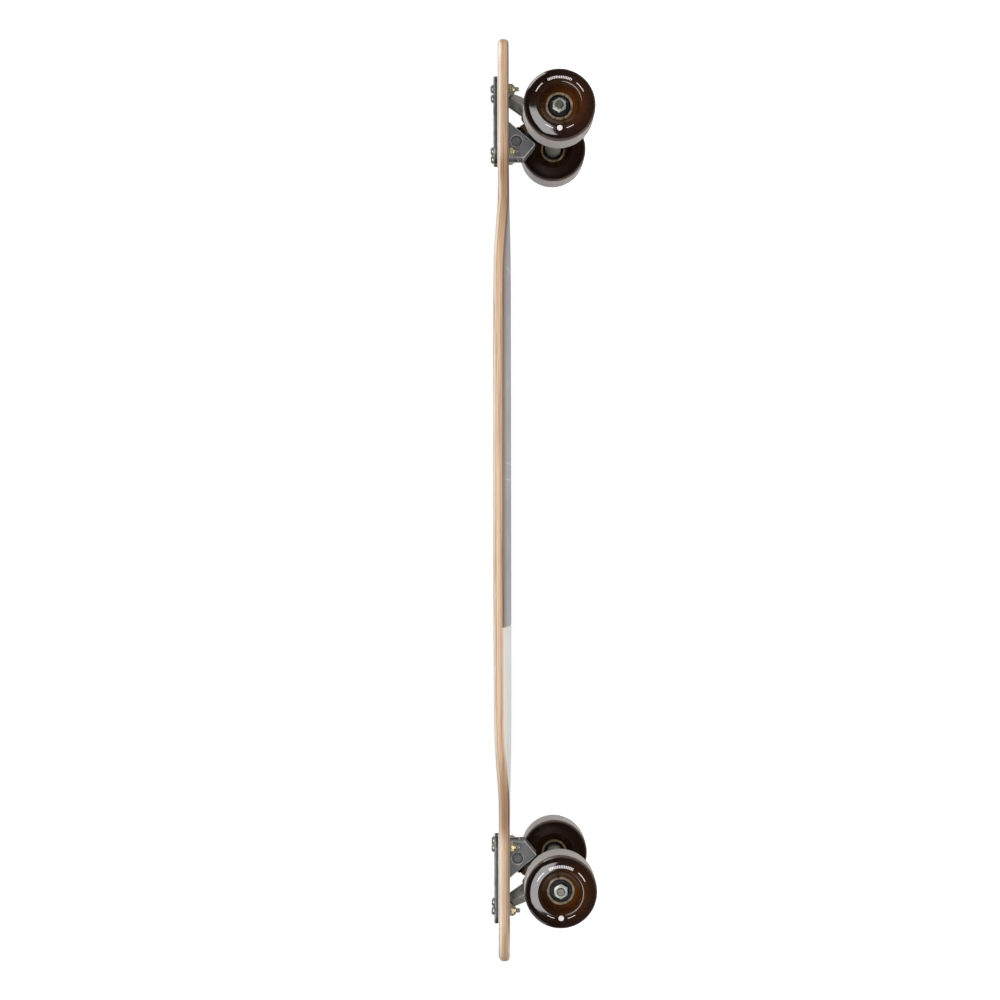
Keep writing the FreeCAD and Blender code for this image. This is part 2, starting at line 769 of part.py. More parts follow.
def make_wheels():
    pieces = {
        "wheel": make_tyre(),
        "wheel_core": make_core(),
        "bearing_outer_races": make_outer_races(),
        "bearing_inner_races": make_inner_races(),
        "bearing_shields": make_shields(),
        "bearing_balls": make_balls(),
        "bearing_cages": make_cages(),
        "bearing_spacer": make_spacer(),
    }
    for end, x in (("front", axle_x), ("rear", -axle_x)):
        for side, y in (("left", wheel_y), ("right", -wheel_y)):
            for name, piece in pieces.items():
                shapes[end + "_" + side + "_" + name] = piece.translated(FreeCAD.Vector(x, y, axle_z))


make_deck()
make_grip_sheet()
make_trucks()
make_wheels()
os.makedirs("parts", exist_ok=True)
for node, shape in shapes.items():
    shape.exportStep("parts/" + node + ".step")
    print(node, len(shape.Solids), shape.isValid(), round(shape.Volume, 1))
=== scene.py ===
import math

import bmesh
import bpy
from mathutils import Matrix, Vector


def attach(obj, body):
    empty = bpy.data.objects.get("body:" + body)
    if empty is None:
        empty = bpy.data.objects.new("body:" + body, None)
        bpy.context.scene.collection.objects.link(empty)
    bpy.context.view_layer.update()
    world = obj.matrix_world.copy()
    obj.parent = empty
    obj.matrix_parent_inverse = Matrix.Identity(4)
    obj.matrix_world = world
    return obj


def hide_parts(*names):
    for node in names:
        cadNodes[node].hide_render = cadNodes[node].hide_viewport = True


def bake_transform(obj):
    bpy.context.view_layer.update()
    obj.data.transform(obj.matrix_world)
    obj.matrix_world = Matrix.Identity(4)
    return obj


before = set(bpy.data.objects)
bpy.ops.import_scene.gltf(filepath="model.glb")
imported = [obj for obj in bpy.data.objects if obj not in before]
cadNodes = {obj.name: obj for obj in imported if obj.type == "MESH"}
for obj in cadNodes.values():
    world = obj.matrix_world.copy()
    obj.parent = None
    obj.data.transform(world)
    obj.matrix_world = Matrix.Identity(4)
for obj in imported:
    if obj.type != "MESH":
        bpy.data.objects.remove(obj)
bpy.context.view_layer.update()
scene = bpy.context.scene
mm = 0.001
print("longboard frame loaded,", len(cadNodes), "nodes")


# camera: the picture's up is the nose of the board and its right is the road
photoCamera = {"place": (-0.0244, -1.86, 0.0928), "yaw": 0.0125, "roll": -0.0014, "lens": 65.2, "sensor": 36.0}


def addCamera(look):
    data = bpy.data.cameras.new("photoCamera")
    data.sensor_width = look["sensor"]
    data.lens = look["lens"]
    camera = bpy.data.objects.new("photoCamera", data)
    scene.collection.objects.link(camera)
    sideways = Matrix(((0, 1, 0), (0, 0, -1), (-1, 0, 0)))
    turn = Matrix.Rotation(-look["yaw"], 3, "Z") @ sideways @ Matrix.Rotation(look["roll"], 3, "Z")
    camera.matrix_world = Matrix.Translation(look["place"]) @ turn.to_4x4()
    scene.camera = camera


addCamera(photoCamera)
print("camera set")


# node helpers
def setInputs(tree, node, inputs):
    for name, value in inputs.items():
        if isinstance(value, bpy.types.NodeSocket):
            tree.links.new(value, node.inputs[name])
        else:
            node.inputs[name].default_value = value


def addNode(tree, kind, inputs=None, **settings):
    node = tree.nodes.new(kind)
    for name, value in settings.items():
        setattr(node, name, value)
    setInputs(tree, node, inputs or {})
    return node


def maths(tree, operation, *values, clamp=False):
    inputs = dict(enumerate(values))
    return addNode(tree, "ShaderNodeMath", inputs, operation=operation, use_clamp=clamp).outputs[0]


def between(tree, value, low, high, start=0.0, end=1.0, kind="LINEAR"):
    inputs = {"Value": value, "From Min": low, "From Max": high, "To Min": start, "To Max": end}
    return addNode(tree, "ShaderNodeMapRange", inputs, interpolation_type=kind).outputs["Result"]


def reachOf(tree, x, y):
    squares = maths(tree, "ADD", maths(tree, "MULTIPLY", x, x), maths(tree, "MULTIPLY", y, y))
    return maths(tree, "SQRT", squares)


def colour(red, green, blue):
    # a screen colour from 0 to 255 as the shader's own linear one
    parts = [value / 255 for value in (red, green, blue)]
    return tuple([v / 12.92 if v <= 0.04045 else ((v + 0.055) / 1.055) ** 2.4 for v in parts] + [1.0])


def grey(level):
    return (level, level, level, 1.0)


def ramp(tree, value, stops):
    node = addNode(tree, "ShaderNodeValToRGB", {"Fac": value})
    points = node.color_ramp.elements
    while len(points) < len(stops):
        points.new(0.5)
    for point, (place, tint) in zip(points, stops):
        point.position = place
        point.color = tint
    return node.outputs["Color"]


def tintRamp(tree, value, stops):
    return ramp(tree, value, [(place, colour(*tint)) for place, tint in stops])


def mixed(tree, share, first, second, blend="MIX"):
    inputs = {0: share, 6: first, 7: second}  # the sockets for colours
    return addNode(tree, "ShaderNodeMix", inputs, data_type="RGBA", blend_type=blend).outputs[2]


def tinted(tree, share, body, tint, blend="MIX"):
    return mixed(tree, share, body, colour(*tint), blend)


def noise(tree, vector, scale, detail=4.0, rough=0.55):
    inputs = {"Vector": vector, "Scale": scale, "Detail": detail, "Roughness": rough}
    return addNode(tree, "ShaderNodeTexNoise", inputs).outputs["Fac"]


def fibres(tree, vector, stretch, detail, rough=0.55, scale=1.0):
    # noise with its own scale along each axis
    pulled = addNode(tree, "ShaderNodeMapping", {"Vector": vector, "Scale": stretch}).outputs["Vector"]
    return noise(tree, pulled, scale, detail, rough)


def objectPlace(tree):
    return addNode(tree, "ShaderNodeTexCoord").outputs["Object"]


def split(tree, vector):
    return addNode(tree, "ShaderNodeSeparateXYZ", {0: vector}).outputs


def bumped(tree, height, strength, distance, invert=False, **more):
    inputs = {"Height": height, "Strength": strength, "Distance": distance}
    return addNode(tree, "ShaderNodeBump", inputs | more, invert=invert).outputs["Normal"]


def newGroup(name, inputs, outputs):
    group = bpy.data.node_groups.new(name, "ShaderNodeTree")
    kind = "NodeSocketFloat"
    for label, value in inputs.items():
        group.interface.new_socket(name=label, in_out="INPUT", socket_type=kind).default_value = value
    for label in outputs:
        group.interface.new_socket(name=label, in_out="OUTPUT", socket_type=kind)
    return group, group.nodes.new("NodeGroupInput").outputs, group.nodes.new("NodeGroupOutput")


def placeGroup(tree, group, values):
    return addNode(tree, "ShaderNodeGroup", values, node_tree=group).outputs


def startMaterial(name):
    material = bpy.data.materials.new(name)
    material.use_nodes = True
    tree = material.node_tree
    return material, tree, tree.nodes["Principled BSDF"]


# shared effects
# pointiness ranges: ridges for the pale edges, hollows for the painted shade
wearGlintShadeLook = {"samples": 6, "ridge": (0.51, 0.55), "hollow": (0.495, 0.455), "patches": (0.3, 0.62)}


def makeWearGlintShade(look):
    group, given, out = newGroup(
        "wearGlintShade", {"Width": 0.0006, "Sharpness": 6.0, "Patch Scale": 180.0, "Ridge": 0.0},
        ("Mask", "Hollow Shade"))
    # edge mask: worn edges and ridges, tinted pale as real wear and as a painted highlight
    soft = addNode(group, "ShaderNodeBevel", {"Radius": given["Width"]}, samples=look["samples"]).outputs[0]
    plain = addNode(group, "ShaderNodeNewGeometry").outputs
    facing = addNode(group, "ShaderNodeVectorMath", {0: soft, 1: plain["Normal"]}, operation="DOT_PRODUCT")
    bend = maths(group, "SUBTRACT", 1.0, facing.outputs["Value"])
    ridge = maths(group, "MULTIPLY", between(group, plain["Pointiness"], *look["ridge"]), given["Ridge"])
    strength = maths(group, "MAXIMUM", maths(group, "MULTIPLY", bend, given["Sharpness"]), ridge)
    patches = noise(group, objectPlace(group), given["Patch Scale"], 5.0, 0.6)
    patches = between(group, patches, *look["patches"])
    # the hollow output marks the hollows, which the metals darken as painted shade
    setInputs(group, out, {
        "Mask": maths(group, "MULTIPLY", strength, patches, clamp=True),
        "Hollow Shade": between(group, plain["Pointiness"], *look["hollow"])})
    return group


castLook = {"broadShare": 0.6, "blotches": (0.3, 0.7)}


def makeCastGrain(look):
    group, given, out = newGroup("castGrain", {"Grain": 1500.0, "Blotch": 60.0}, ("Height", "Blotches"))
    place = objectPlace(group)
    fine = noise(group, place, given["Grain"], 3.0, 0.6)
    broad = noise(group, place, given["Blotch"], 5.0, 0.6)
    setInputs(group, out, {
        "Height": maths(group, "MULTIPLY_ADD", broad, look["broadShare"], fine),
        "Blotches": between(group, broad, *look["blotches"])})
    return group


woodLook = {
    "drift": (2.2, 14.0, 14.0), "swirl": 0.35, "rings": (0.9, 46.0, 30.0), "tone": (0.3, 0.72),
    "pores": (28.0, 950.0, 950.0), "pored": (0.52, 0.7),
}


def makeWoodGrain(look):
    # long fibres along X with fine pores
    group, given, out = newGroup("woodGrain", {"Figure": 1.0}, ("Tone", "Pores"))
    place = objectPlace(group)
    drift = fibres(group, place, look["drift"], 3.0, scale=given["Figure"])
    swirl = maths(group, "MULTIPLY", drift, look["swirl"])
    shift = addNode(group, "ShaderNodeCombineXYZ", {"Y": swirl, "Z": swirl}).outputs[0]
    moved = addNode(group, "ShaderNodeVectorMath", {0: place, 1: shift}, operation="ADD").outputs[0]
    rings = fibres(group, moved, look["rings"], 5.0, 0.6, given["Figure"])
    pores = fibres(group, place, look["pores"], 2.0, 0.5, given["Figure"])
    setInputs(group, out, {
        "Tone": between(group, rings, *look["tone"]),
        "Pores": between(group, pores, *look["pored"])})
    return group


wearGlintShade = makeWearGlintShade(wearGlintShadeLook)
castGrain = makeCastGrain(castLook)
woodGrain = makeWoodGrain(woodLook)
print("shared effects built")


# studio: softboxes, white sky and floor
softboxes = {
    "frontSoftbox": {
        "place": (0.0, -1.3, 0.62), "target": (0.0, 0.0, 0.05), "size": (1.35, 0.75), "power": 12.0,
        "gloss": False},
    "mirrorSoftbox": {
        "place": (-0.2, -1.3, 0.54), "target": (-0.1, 0.0, 0.05), "size": (1.58, 0.86), "power": 29.0,
        "diffuse": False},
    "backSoftbox": {"place": (0.0, 1.5, 1.1), "target": (0.0, 0.0, 0.05), "size": (1.6, 0.8), "power": 9.0},
    "noseSoftbox": {"place": (1.5, 0.2, 0.8), "target": (0.3, 0.0, 0.05), "size": (0.8, 0.8), "power": 9.0},
    "tailSoftbox": {"place": (-1.5, 0.2, 0.8), "target": (-0.3, 0.0, 0.05), "size": (0.8, 0.8), "power": 1.5},
}
studio = {
    "skyLight": 0.28, "skyGloss": 0.05,
    "floorColour": 0.88, "floorPatch": 3.0, "floorMottle": 0.02, "floorGlow": 0.78, "floorGloss": 0.045,
    "floorRough": 0.9, "floorSize": 8.0,
    "floorDrop": 0.03,  # the leaning wheels reach below the road
}


def addSoftbox(name, look):
    data = bpy.data.lights.new(name, "AREA")
    data.shape = "RECTANGLE"
    data.size, data.size_y = look["size"]
    data.energy = look["power"]
    lamp = bpy.data.objects.new(name, data)
    scene.collection.objects.link(lamp)
    lamp.visible_camera = False
    lamp.visible_diffuse = look.get("diffuse", True)
    lamp.visible_glossy = look.get("gloss", True)
    aim = Vector(look["target"]) - Vector(look["place"])
    lamp.matrix_world = Matrix.Translation(look["place"]) @ aim.to_track_quat("-Z", "Y").to_matrix().to_4x4()


def addSky(look):
    world = bpy.data.worlds.new("studioSky")
    world.use_nodes = True
    tree = world.node_tree
    ray = addNode(tree, "ShaderNodeLightPath").outputs
    level = between(tree, ray["Is Glossy Ray"], 0.0, 1.0, look["skyLight"], look["skyGloss"])
    level = maths(tree, "MAXIMUM", ray["Is Camera Ray"], level)
    setInputs(tree, tree.nodes["Background"], {"Strength": level, "Color": grey(1.0)})
    scene.world = world


def makeFloorWhite(look):
    material, tree, shader = startMaterial("floorWhite")
    shade, dim = look["floorColour"], look["floorGloss"]
    mottle = noise(tree, objectPlace(tree), look["floorPatch"])
    pale = ramp(tree, mottle, [(0.0, grey(shade)), (1.0, grey(shade + look["floorMottle"]))])
    mirrored = addNode(tree, "ShaderNodeLightPath").outputs["Is Glossy Ray"]  # glossy parts see a darker studio
    setInputs(tree, shader, {
        "Base Color": mixed(tree, mirrored, pale, grey(dim)),
        "Roughness": look["floorRough"],
        "Specular IOR Level": 0.0,
        "Emission Color": grey(1.0),
        "Emission Strength": between(tree, mirrored, 0.0, 1.0, look["floorGlow"], dim)})
    return material


def addFloor(look):
    bm = bmesh.new()
    sunk = Matrix.Translation((0.0, 0.0, -look["floorDrop"]))
    bmesh.ops.create_grid(bm, x_segments=1, y_segments=1, size=look["floorSize"], matrix=sunk)
    mesh = bpy.data.meshes.new("studioFloor")
    bm.to_mesh(mesh)
    bm.free()
    mesh.materials.append(makeFloorWhite(look))
    floor = bpy.data.objects.new("studioFloor", mesh)
    scene.collection.objects.link(floor)


scene.view_settings.view_transform = "Standard"
for name, look in softboxes.items():
    addSoftbox(name, look)
addSky(studio)
addFloor(studio)
print("studio lit")


# metal finishes, each starts from the common base
grainSpan = (0.4, 1.2)  # the heights that castGrain gives
metalBase = {
    # the dark tint for hollows is painted shade
    "blotch": 70.0, "patch": 160.0, "width": 0.0005, "ridge": 0.0, "hollow": 0.0, "paintedShade": (26, 25, 25),
    "shine": 0.5, "bevel": 0.0003, "bevelSamples": 4, "relief": 0.0004, "bands": [],
}
# each finish's edge tint pales worn edges and ridges: real wear, and a painted highlight along them
metalFinishes = {
    "baseplate_metal": {
        "dark": (70, 69, 70), "light": (94, 93, 93), "edge": (226, 225, 220), "metal": 0.2,
        "rough": (0.36, 0.55), "grain": 1500.0, "bump": 0.3, "wear": 9.0, "width": 0.0016, "ridge": 0.9,
        "hollow": 0.8, "shine": 0.3,
        # painted highlight: paler just under the deck, where the light from above falls; darker above the
        # deck's top
        "bands": [(0.062, 0.0835, 0.6, (150, 148, 152)), (0.0935, 0.0945, 1.0, (62, 62, 64))]},
    "hanger_metal": {
        "dark": (114, 112, 104), "light": (148, 146, 136), "edge": (204, 202, 192), "metal": 0.3,
        "rough": (0.34, 0.52), "grain": 1300.0, "bump": 0.3, "wear": 6.0, "width": 0.0014, "ridge": 0.5,
        "hollow": 0.6},
    "axle_steel": {
        "dark": (86, 86, 80), "light": (116, 116, 109), "edge": (190, 190, 184), "metal": 1.0,
        "rough": (0.28, 0.5), "grain": 2600.0, "bump": 0.18, "wear": 5.0},
    "kingpin_steel": {
        "dark": (96, 98, 100), "light": (132, 134, 136), "edge": (200, 200, 200), "metal": 1.0,
        "rough": (0.25, 0.45), "grain": 2600.0, "bump": 0.18, "wear": 6.0},
    "cup_washer_steel": {
        "dark": (20, 20, 21), "light": (34, 34, 35), "edge": (120, 120, 120), "metal": 0.9,
        "rough": (0.3, 0.5), "grain": 2000.0, "bump": 0.18, "wear": 4.0},
    "washer_steel": {
        "dark": (120, 122, 124), "light": (158, 160, 162), "edge": (220, 220, 220), "metal": 1.0,
        "rough": (0.2, 0.4), "grain": 2600.0, "bump": 0.12, "wear": 5.0},
    "axle_nut_zinc": {
        "dark": (150, 151, 144), "light": (190, 191, 183), "edge": (244, 244, 240), "metal": 0.6,
        "rough": (0.16, 0.3), "grain": 2200.0, "bump": 0.12, "wear": 5.0},
    "bolt_steel": {
        "dark": (126, 123, 119), "light": (162, 159, 154), "edge": (226, 225, 222), "metal": 0.7,
        "rough": (0.22, 0.42), "grain": 2400.0, "bump": 0.18, "wear": 6.0},
    "nut_brass": {
        "dark": (180, 162, 118), "light": (226, 211, 170), "edge": (255, 248, 222), "metal": 0.8,
        "rough": (0.12, 0.28), "grain": 2400.0, "bump": 0.12, "wear": 6.0},
    "bearing_steel": {
        "dark": (28, 27, 26), "light": (44, 43, 41), "edge": (150, 150, 146), "metal": 1.0,
        "rough": (0.16, 0.3), "grain": 3000.0, "bump": 0.06, "wear": 4.0},
    "ball_steel": {
        "dark": (150, 150, 152), "light": (180, 180, 182), "edge": (220, 220, 220), "metal": 1.0,
        "rough": (0.06, 0.14), "grain": 3000.0, "bump": 0.024, "wear": 1.0},
    "spacer_aluminium": {
        "dark": (160, 161, 162), "light": (190, 191, 192), "edge": (230, 230, 230), "metal": 1.0,
        "rough": (0.22, 0.4), "grain": 2600.0, "bump": 0.12, "wear": 5.0},
}


def makeMetal(name, look):
    material, tree, shader = startMaterial(name)
    grain = placeGroup(tree, castGrain, {"Grain": look["grain"], "Blotch": look["blotch"]})
    worn = placeGroup(tree, wearGlintShade, {
        "Width": look["width"], "Sharpness": look["wear"], "Patch Scale": look["patch"],
        "Ridge": look["ridge"]})
    body = tintRamp(tree, grain["Blotches"], [(0.0, look["dark"]), (1.0, look["light"])])
    for low, high, share, tint in look["bands"]:
        above = split(tree, objectPlace(tree))["Z"]
        body = tinted(tree, between(tree, above, low, high, 0.0, share), body, tint)
    # worn edges paler: real wear, and a painted highlight along them
    body = tinted(tree, worn["Mask"], body, look["edge"])
    # painted shade: the hollows are darkened
    paintedShade = maths(tree, "MULTIPLY", worn["Hollow Shade"], look["hollow"])
    rounded = addNode(tree, "ShaderNodeBevel", {"Radius": look["bevel"]}, samples=look["bevelSamples"])
    setInputs(tree, shader, {
        "Base Color": tinted(tree, paintedShade, body, look["paintedShade"]),
        "Roughness": between(tree, grain["Height"], *grainSpan, *look["rough"]),
        "Metallic": look["metal"],
        "Specular IOR Level": look["shine"],
        "Normal": bumped(tree, grain["Height"], look["bump"], look["relief"], Normal=rounded.outputs[0])})
    return material


finishes = {name: makeMetal(name, metalBase | look) for name, look in metalFinishes.items()}
print("metals ready")


# moulded finishes
mouldedBase = {"blotch": 110.0, "coat": 0.0, "shine": 0.5, "bump": 0.12, "relief": 0.0003}
mouldedFinishes = {
    "pivot_cup_plastic": {"dark": (28, 28, 28), "light": (44, 44, 44), "rough": (0.4, 0.6), "grain": 900.0},
    "bushing_urethane": {
        "dark": (52, 30, 14), "light": (92, 58, 26), "rough": (0.2, 0.36), "grain": 300.0, "coat": 0.3},
    "core_plastic": {
        "dark": (52, 37, 23), "light": (162, 140, 110), "rough": (0.16, 0.3), "grain": 500.0, "coat": 0.4,
        "blotch": 210.0},
    "shield_rubber": {
        "dark": (10, 10, 10), "light": (22, 22, 22), "rough": (0.4, 0.6), "grain": 900.0, "shine": 0.2},
    "cage_plastic": {"dark": (182, 172, 150), "light": (206, 198, 178), "rough": (0.35, 0.55), "grain": 900.0},
}


def makeMoulded(name, look):
    material, tree, shader = startMaterial(name)
    grain = placeGroup(tree, castGrain, {"Grain": look["grain"], "Blotch": look["blotch"]})
    setInputs(tree, shader, {
        "Base Color": tintRamp(tree, grain["Blotches"], [(0.0, look["dark"]), (1.0, look["light"])]),
        "Roughness": between(tree, grain["Height"], *grainSpan, *look["rough"]),
        "Coat Weight": look["coat"],
        "Specular IOR Level": look["shine"],
        "Normal": bumped(tree, grain["Height"], look["bump"], look["relief"])})
    return material


for name, look in mouldedFinishes.items():
    finishes[name] = makeMoulded(name, mouldedBase | look)
print("moulded finishes ready")


# deck: wood veneer above, glued plies at the edge, paint below
deckLook = {
    "thickness": 0.0108, "bottom": 0.0835, "drop": 0.0019, "rise": 0.0079, "strip": 0.040, "halfWidth": 0.1065,
    "platform": 0.2185, "neck": 0.3425, "reach": 0.48,
    "outline": [
        (0.0, 0.1065), (0.11, 0.1057), (0.2185, 0.1035), (0.2516, 0.1), (0.2755, 0.0929), (0.2898, 0.0855),
        (0.2995, 0.0791), (0.3064, 0.074), (0.3128, 0.0693), (0.3209, 0.0642), (0.3298, 0.0607),
        (0.3425, 0.059), (0.4244, 0.059), (0.4401, 0.0564), (0.4529, 0.0488), (0.4624, 0.0366),
        (0.4672, 0.0247), (0.4697, 0.0125), (0.4704, 0.0)],
    "underBelow": 0.03, "topAbove": 0.97,  # shares of the thickness
    "roughGain": 0.25, "roughBase": 0.28, "fibreRelief": 0.5, "poreRelief": -0.4, "bump": 0.12,
    "relief": 0.0003,
}
edgeLook = {
    # the plies run dark at the underside to near-white at the top: real plies and glue lines, with painted
    # shade on the lower rounding and a painted highlight on the upper rounding
    "plies": [
        (0.0, (92, 78, 70)), (0.07, (112, 95, 84)), (0.13, (160, 131, 110)), (0.19, (184, 152, 127)),
        (0.25, (190, 158, 133)), (0.29, (172, 141, 115)), (0.33, (184, 153, 122)), (0.46, (193, 162, 129)),
        (0.50, (176, 143, 111)), (0.54, (195, 164, 131)), (0.66, (192, 162, 130)), (0.70, (184, 154, 124)),
        (0.75, (228, 206, 182)), (0.84, (248, 236, 220)), (0.93, (255, 248, 238)), (1.0, (255, 250, 242))],
    "waver": {"stretch": (9.0, 9.0, 120.0), "depth": 0.05},
    "fibre": {"stretch": (26.0, 26.0, 1900.0), "span": (0.35, 0.75, 0.0, 0.35), "tint": (184, 150, 118)},
    "streak": {"stretch": (13.0, 13.0, 760.0), "span": (0.51, 0.68, 0.0, 0.7), "tint": (184, 148, 112)},
    "endGrainShade": {"starts": (0.245, 0.295, 0.0, 0.5), "ends": (0.352, 0.325), "tint": (186, 168, 150)},
    "run": {
        "height": (0.24, 0.08), "middle": (0.24, 0.29, 1.0, 0.0), "tip": (0.425, 0.45),
        "tint": (196, 178, 160)},
}
paintLook = {
    "split": -0.1262, "cloud": 14.0, "grey": [(0.3, (153, 152, 155)), (0.7, (169, 168, 171))],
    "pale": [(0.3, (200, 203, 201)), (0.7, (212, 214, 212))],
    "lines": {"places": (0.018, 0.034, 0.225), "half": 0.0006, "share": 0.6, "tint": (206, 206, 205)},
    "rim": {"span": (0.004, 0.017, 0.85, 0.0), "grey": (134, 114, 98), "pale": (214, 202, 192)},
    "scuff": {"stretch": (60.0, 220.0, 60.0), "span": (0.64, 0.72, 0.0, 0.3), "tint": (120, 118, 116)},
}
veneerLook = {
    "tones": [(0.0, (190, 156, 116)), (0.45, (220, 190, 152)), (1.0, (236, 212, 180))],
    "poreShare": 0.35, "pore": (128, 92, 60),
}


def plyHeight(tree, look, place):
    # how far up through the plies a point lies, from 0 at the underside to 1 at the top
    along = maths(tree, "ABSOLUTE", place["X"])
    across = maths(tree, "ABSOLUTE", place["Y"])
    sunk = between(tree, along, look["platform"], look["neck"], 1.0, 0.0, "SMOOTHSTEP")
    side = between(tree, across, look["strip"], look["halfWidth"])
    lift = maths(tree, "MULTIPLY_ADD", maths(tree, "MULTIPLY", side, side), look["rise"], -look["drop"])
    floor = maths(tree, "MULTIPLY_ADD", sunk, lift, look["bottom"])
    return maths(tree, "DIVIDE", maths(tree, "SUBTRACT", place["Z"], floor), look["thickness"])


def rimDistance(tree, look, place):
    # how far inside the deck's outline a point lies, measured across the board
    along = maths(tree, "DIVIDE", maths(tree, "ABSOLUTE", place["X"]), look["reach"])
    curve = addNode(tree, "ShaderNodeFloatCurve", {"Value": along})
    line = curve.mapping.curves[0].points
    while len(line) < len(look["outline"]):
        line.new(0.5, 0.5)
    for point, (x, half) in zip(line, look["outline"]):
        point.location = (x / look["reach"], half / look["halfWidth"])
        point.handle_type = "VECTOR"
    curve.mapping.update()
    half = maths(tree, "MULTIPLY", curve.outputs["Value"], look["halfWidth"])
    return maths(tree, "SUBTRACT", half, maths(tree, "ABSOLUTE", place["Y"]))


def edgeColour(tree, look, height, along, tail, fibre):
    place = objectPlace(tree)
    waver, depth = fibres(tree, place, look["waver"]["stretch"], 3.0), look["waver"]["depth"]
    level = maths(tree, "MULTIPLY_ADD", waver, depth, maths(tree, "SUBTRACT", height, depth / 2))
    # the ply ramp holds painted shade low on the edge and a painted highlight at its top
    plies = tintRamp(tree, level, look["plies"])
    streak = fibres(tree, place, look["streak"]["stretch"], 3.0, 0.6)
    for lines, line in ((fibre, look["fibre"]), (streak, look["streak"])):
        plies = tinted(tree, between(tree, lines, *line["span"]), plies, line["tint"], "MULTIPLY")
    far = maths(tree, "ABSOLUTE", along)
    # painted shade where the wheel wells curve in and the edge turns from the light, with the darker end grain
    # of the saw cut
    cut = look["endGrainShade"]
    endGrainShade = maths(tree, "MULTIPLY", between(tree, far, *cut["starts"]), between(tree, far, *cut["ends"]))
    plies = tinted(tree, endGrainShade, plies, cut["tint"], "MULTIPLY")
    # the pale paint runs a little up the edge, but not beside the rear truck, where the darker lower plies stay
    # as painted shade
    run = look["run"]
    reached = maths(tree, "MAXIMUM", between(tree, far, *run["middle"]), between(tree, far, *run["tip"]))
    reached = maths(tree, "MULTIPLY", between(tree, height, *run["height"]), reached)
    return tinted(tree, maths(tree, "MULTIPLY", tail, reached), plies, run["tint"])


def paintColour(tree, look, along, tail, inside):
    place = objectPlace(tree)
    cloud = noise(tree, place, look["cloud"], 6.0, 0.65)
    paint = mixed(tree, tail, tintRamp(tree, cloud, look["grey"]), tintRamp(tree, cloud, look["pale"]))
    lines, rim, scuff = look["lines"], look["rim"], look["scuff"]
    for line in lines["places"]:
        near = maths(tree, "COMPARE", along, line, lines["half"])
        paint = tinted(tree, maths(tree, "MULTIPLY", near, lines["share"]), paint, lines["tint"])
    border = mixed(tree, tail, colour(*rim["grey"]), colour(*rim["pale"]))
    paint = mixed(tree, between(tree, inside, *rim["span"]), paint, border)
    scratches = fibres(tree, place, scuff["stretch"], 6.0, 0.7)
    return tinted(tree, between(tree, scratches, *scuff["span"]), paint, scuff["tint"])


def veneerColour(tree, look, grain):
    wood = tintRamp(tree, grain["Tone"], look["tones"])
    return tinted(tree, maths(tree, "MULTIPLY", grain["Pores"], look["poreShare"]), wood, look["pore"])


def makeDeckWood(look):
    material, tree, shader = startMaterial("deck_wood")
    place = split(tree, objectPlace(tree))
    height = plyHeight(tree, look, place)
    tail = maths(tree, "LESS_THAN", place["X"], paintLook["split"])
    grain = placeGroup(tree, woodGrain, {"Figure": 1.0})
    fibre = fibres(tree, objectPlace(tree), edgeLook["fibre"]["stretch"], 4.0, 0.6)
    plies = edgeColour(tree, edgeLook, height, place["X"], tail, fibre)
    paint = paintColour(tree, paintLook, place["X"], tail, rimDistance(tree, look, place))
    top = maths(tree, "GREATER_THAN", height, look["topAbove"])
    under = maths(tree, "LESS_THAN", height, look["underBelow"])
    upper = mixed(tree, top, plies, veneerColour(tree, veneerLook, grain))
    relief = maths(tree, "MULTIPLY", grain["Pores"], look["poreRelief"])
    relief = maths(tree, "ADD", maths(tree, "MULTIPLY", fibre, look["fibreRelief"]), relief)
    setInputs(tree, shader, {
        "Base Color": mixed(tree, under, upper, paint),
        "Roughness": maths(tree, "MULTIPLY_ADD", fibre, look["roughGain"], look["roughBase"]),
        "Normal": bumped(tree, relief, look["bump"], look["relief"])})
    return material


# clear grip: glassy grit over the top veneer
gripLook = {
    "tones": [(0.0, (176, 140, 100)), (0.45, (212, 178, 136)), (1.0, (230, 202, 164))],
    "poreShare": 0.35, "pore": (118, 82, 52), "cut": (250, 244, 236), "cutBelow": 0.6,
    "grit": 1500.0, "glint": (246, 240, 228), "glintSpan": (0.0, 0.3, 0.34, 0.0),
    "rough": (0.0, 0.7, 0.3, 0.75), "bump": 0.7, "relief": 0.0005,
}


def makeGripClear(look):
    material, tree, shader = startMaterial("grip_clear")
    wood = veneerColour(tree, look, placeGroup(tree, woodGrain, {"Figure": 1.0}))
    cells = addNode(tree, "ShaderNodeTexVoronoi", {"Vector": objectPlace(tree), "Scale": look["grit"]})
    grit = cells.outputs["Distance"]
    wood = tinted(tree, between(tree, grit, *look["glintSpan"]), wood, look["glint"])
    # the cut sides of the sheet are near-white: a frosted cut edge, and a painted highlight along the deck's
    # top
    facing = split(tree, addNode(tree, "ShaderNodeNewGeometry").outputs["True Normal"])["Z"]
    setInputs(tree, shader, {
        "Base Color": tinted(tree, maths(tree, "LESS_THAN", facing, look["cutBelow"]), wood, look["cut"]),
        "Roughness": between(tree, grit, *look["rough"]),
        "Normal": bumped(tree, grit, look["bump"], look["relief"], invert=True)})
    return material


finishes["deck_wood"] = makeDeckWood(deckLook)
finishes["grip_clear"] = makeGripClear(gripLook)
print("deck finishes ready")


# carried-over CAD nodes take their finish from the record's slot, the wheels are made new below
for item in cadNodes.values():
    slot = item.data.materials[0].name.split(".")[0]
    if slot in finishes:
        item.data.materials[0] = finishes[slot]


